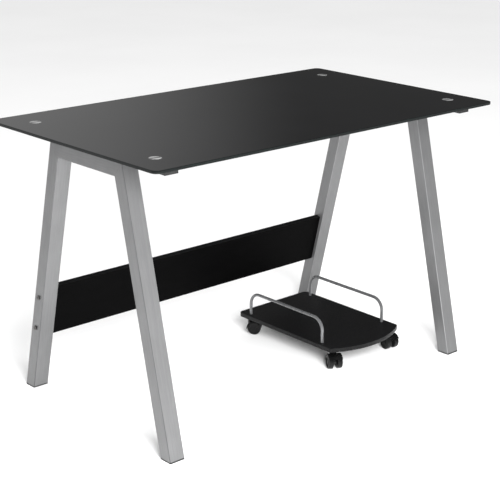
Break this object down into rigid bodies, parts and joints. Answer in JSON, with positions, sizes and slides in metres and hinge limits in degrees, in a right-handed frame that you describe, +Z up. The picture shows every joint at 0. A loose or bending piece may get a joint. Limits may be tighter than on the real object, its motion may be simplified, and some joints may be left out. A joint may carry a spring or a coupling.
{
  "type": "glass computer desk with wheeled computer tray",
  "caption": "Black glass-topped desk on silver leaning A-frame legs with a black modesty panel, and a low wheeled tray with rod guards for a computer tower.",
  "frame": {"origin": "on the floor, under the middle of the glass top", "axes": "+X to the sitter's right, along the desk; +Y away from the sitter, to the back; +Z up"},
  "size_m": [1.2, 0.7, 0.75],
  "materials": {
    "black_glass": "toughened, painted black on the back, polished edge",
    "bonded_disc": "turned",
    "black_paint": "satin black powder coat",
    "silver_paint": "silver powder coat",
    "black_plastic": "moulded",
    "zinc_steel": "zinc plated",
    "black_board": "black melamine-faced board",
    "tray_board": "black melamine-faced board, rounded edge",
    "guard_rod": "silver, semi-gloss",
    "caster_nylon": "moulded nylon",
    "wheel_nylon": "moulded nylon"
  },
  "bodies": {
    "desk_frame": {"glass_top": "black_glass", "disc_bolts": "zinc_steel", "frame_bolts": "zinc_steel", "weld_nuts": "zinc_steel", "modesty_panel": "black_board", "panel_bolts": "zinc_steel", "barrel_nuts": "zinc_steel", "support_bar_left": "black_paint", "top_rail_left": "silver_paint", "glass_disc_front_left": "bonded_disc", "bar_end_front_left": "black_plastic", "leg_front_left": "silver_paint", "foot_cap_front_left": "black_plastic", "glass_disc_rear_left": "bonded_disc", "bar_end_rear_left": "black_plastic", "leg_rear_left": "silver_paint", "foot_cap_rear_left": "black_plastic", "support_bar_right": "black_paint", "top_rail_right": "silver_paint", "glass_disc_front_right": "bonded_disc", "bar_end_front_right": "black_plastic", "leg_front_right": "silver_paint", "foot_cap_front_right": "black_plastic", "glass_disc_rear_right": "bonded_disc", "bar_end_rear_right": "black_plastic", "leg_rear_right": "silver_paint", "foot_cap_rear_right": "black_plastic"},
    "tray": {"tray_board": "tray_board", "tray_guard_left": "guard_rod", "tray_guard_right": "guard_rod", "guard_screws": "zinc_steel", "caster_screws": "zinc_steel", "caster_plate_front_left": "zinc_steel", "swivel_pin_front_left": "zinc_steel", "caster_plate_front_right": "zinc_steel", "swivel_pin_front_right": "zinc_steel", "caster_plate_rear_left": "zinc_steel", "swivel_pin_rear_left": "zinc_steel", "caster_plate_rear_right": "zinc_steel", "swivel_pin_rear_right": "zinc_steel"},
    "caster_front_left": {"caster_yoke_front_left": "caster_nylon", "caster_axle_front_left": "zinc_steel"},
    "wheel_front_left_left": {"caster_wheel_front_left_left": "wheel_nylon"},
    "wheel_front_left_right": {"caster_wheel_front_left_right": "wheel_nylon"},
    "caster_front_right": {"caster_yoke_front_right": "caster_nylon", "caster_axle_front_right": "zinc_steel"},
    "wheel_front_right_left": {"caster_wheel_front_right_left": "wheel_nylon"},
    "wheel_front_right_right": {"caster_wheel_front_right_right": "wheel_nylon"},
    "caster_rear_left": {"caster_yoke_rear_left": "caster_nylon", "caster_axle_rear_left": "zinc_steel"},
    "wheel_rear_left_left": {"caster_wheel_rear_left_left": "wheel_nylon"},
    "wheel_rear_left_right": {"caster_wheel_rear_left_right": "wheel_nylon"},
    "caster_rear_right": {"caster_yoke_rear_right": "caster_nylon", "caster_axle_rear_right": "zinc_steel"},
    "wheel_rear_right_left": {"caster_wheel_rear_right_left": "wheel_nylon"},
    "wheel_rear_right_right": {"caster_wheel_rear_right_right": "wheel_nylon"}
  },
  "joints": [
    {"name": "tray_roll", "type": "slide", "parent": "desk_frame", "child": "tray", "axis": [0, -1, 0], "range_m": [-0.04, 0.6]},
    {"name": "swivel_front_left", "type": "hinge", "parent": "tray", "child": "caster_front_left", "pos_m": [0.184, -0.155, 0.04], "axis": [0, 0, 1], "continuous": true},
    {"name": "spin_front_left_left", "type": "hinge", "parent": "caster_front_left", "child": "wheel_front_left_left", "pos_m": [0.17855, -0.16569, 0.02], "axis": [0.891, -0.454, 0], "continuous": true},
    {"name": "spin_front_left_right", "type": "hinge", "parent": "caster_front_left", "child": "wheel_front_left_right", "pos_m": [0.17855, -0.16569, 0.02], "axis": [0.891, -0.454, 0], "continuous": true},
    {"name": "swivel_front_right", "type": "hinge", "parent": "tray", "child": "caster_front_right", "pos_m": [0.414, -0.155, 0.04], "axis": [0, 0, 1], "continuous": true},
    {"name": "spin_front_right_left", "type": "hinge", "parent": "caster_front_right", "child": "wheel_front_right_left", "pos_m": [0.41233, -0.16688, 0.02], "axis": [0.9903, -0.1392, 0], "continuous": true},
    {"name": "spin_front_right_right", "type": "hinge", "parent": "caster_front_right", "child": "wheel_front_right_right", "pos_m": [0.41233, -0.16688, 0.02], "axis": [0.9903, -0.1392, 0], "continuous": true},
    {"name": "swivel_rear_left", "type": "hinge", "parent": "tray", "child": "caster_rear_left", "pos_m": [0.184, 0.196, 0.04], "axis": [0, 0, 1], "continuous": true},
    {"name": "spin_rear_left_left", "type": "hinge", "parent": "caster_rear_left", "child": "wheel_rear_left_left", "pos_m": [0.19171, 0.18681, 0.02], "axis": [0.766, 0.6428, 0], "continuous": true},
    {"name": "spin_rear_left_right", "type": "hinge", "parent": "caster_rear_left", "child": "wheel_rear_left_right", "pos_m": [0.19171, 0.18681, 0.02], "axis": [0.766, 0.6428, 0], "continuous": true},
    {"name": "swivel_rear_right", "type": "hinge", "parent": "tray", "child": "caster_rear_right", "pos_m": [0.414, 0.196, 0.04], "axis": [0, 0, 1], "continuous": true},
    {"name": "spin_rear_right_left", "type": "hinge", "parent": "caster_rear_right", "child": "wheel_rear_right_left", "pos_m": [0.41608, 0.18418, 0.02], "axis": [0.9848, 0.1736, 0], "continuous": true},
    {"name": "spin_rear_right_right", "type": "hinge", "parent": "caster_rear_right", "child": "wheel_rear_right_right", "pos_m": [0.41608, 0.18418, 0.02], "axis": [0.9848, 0.1736, 0], "continuous": true}
  ]
}
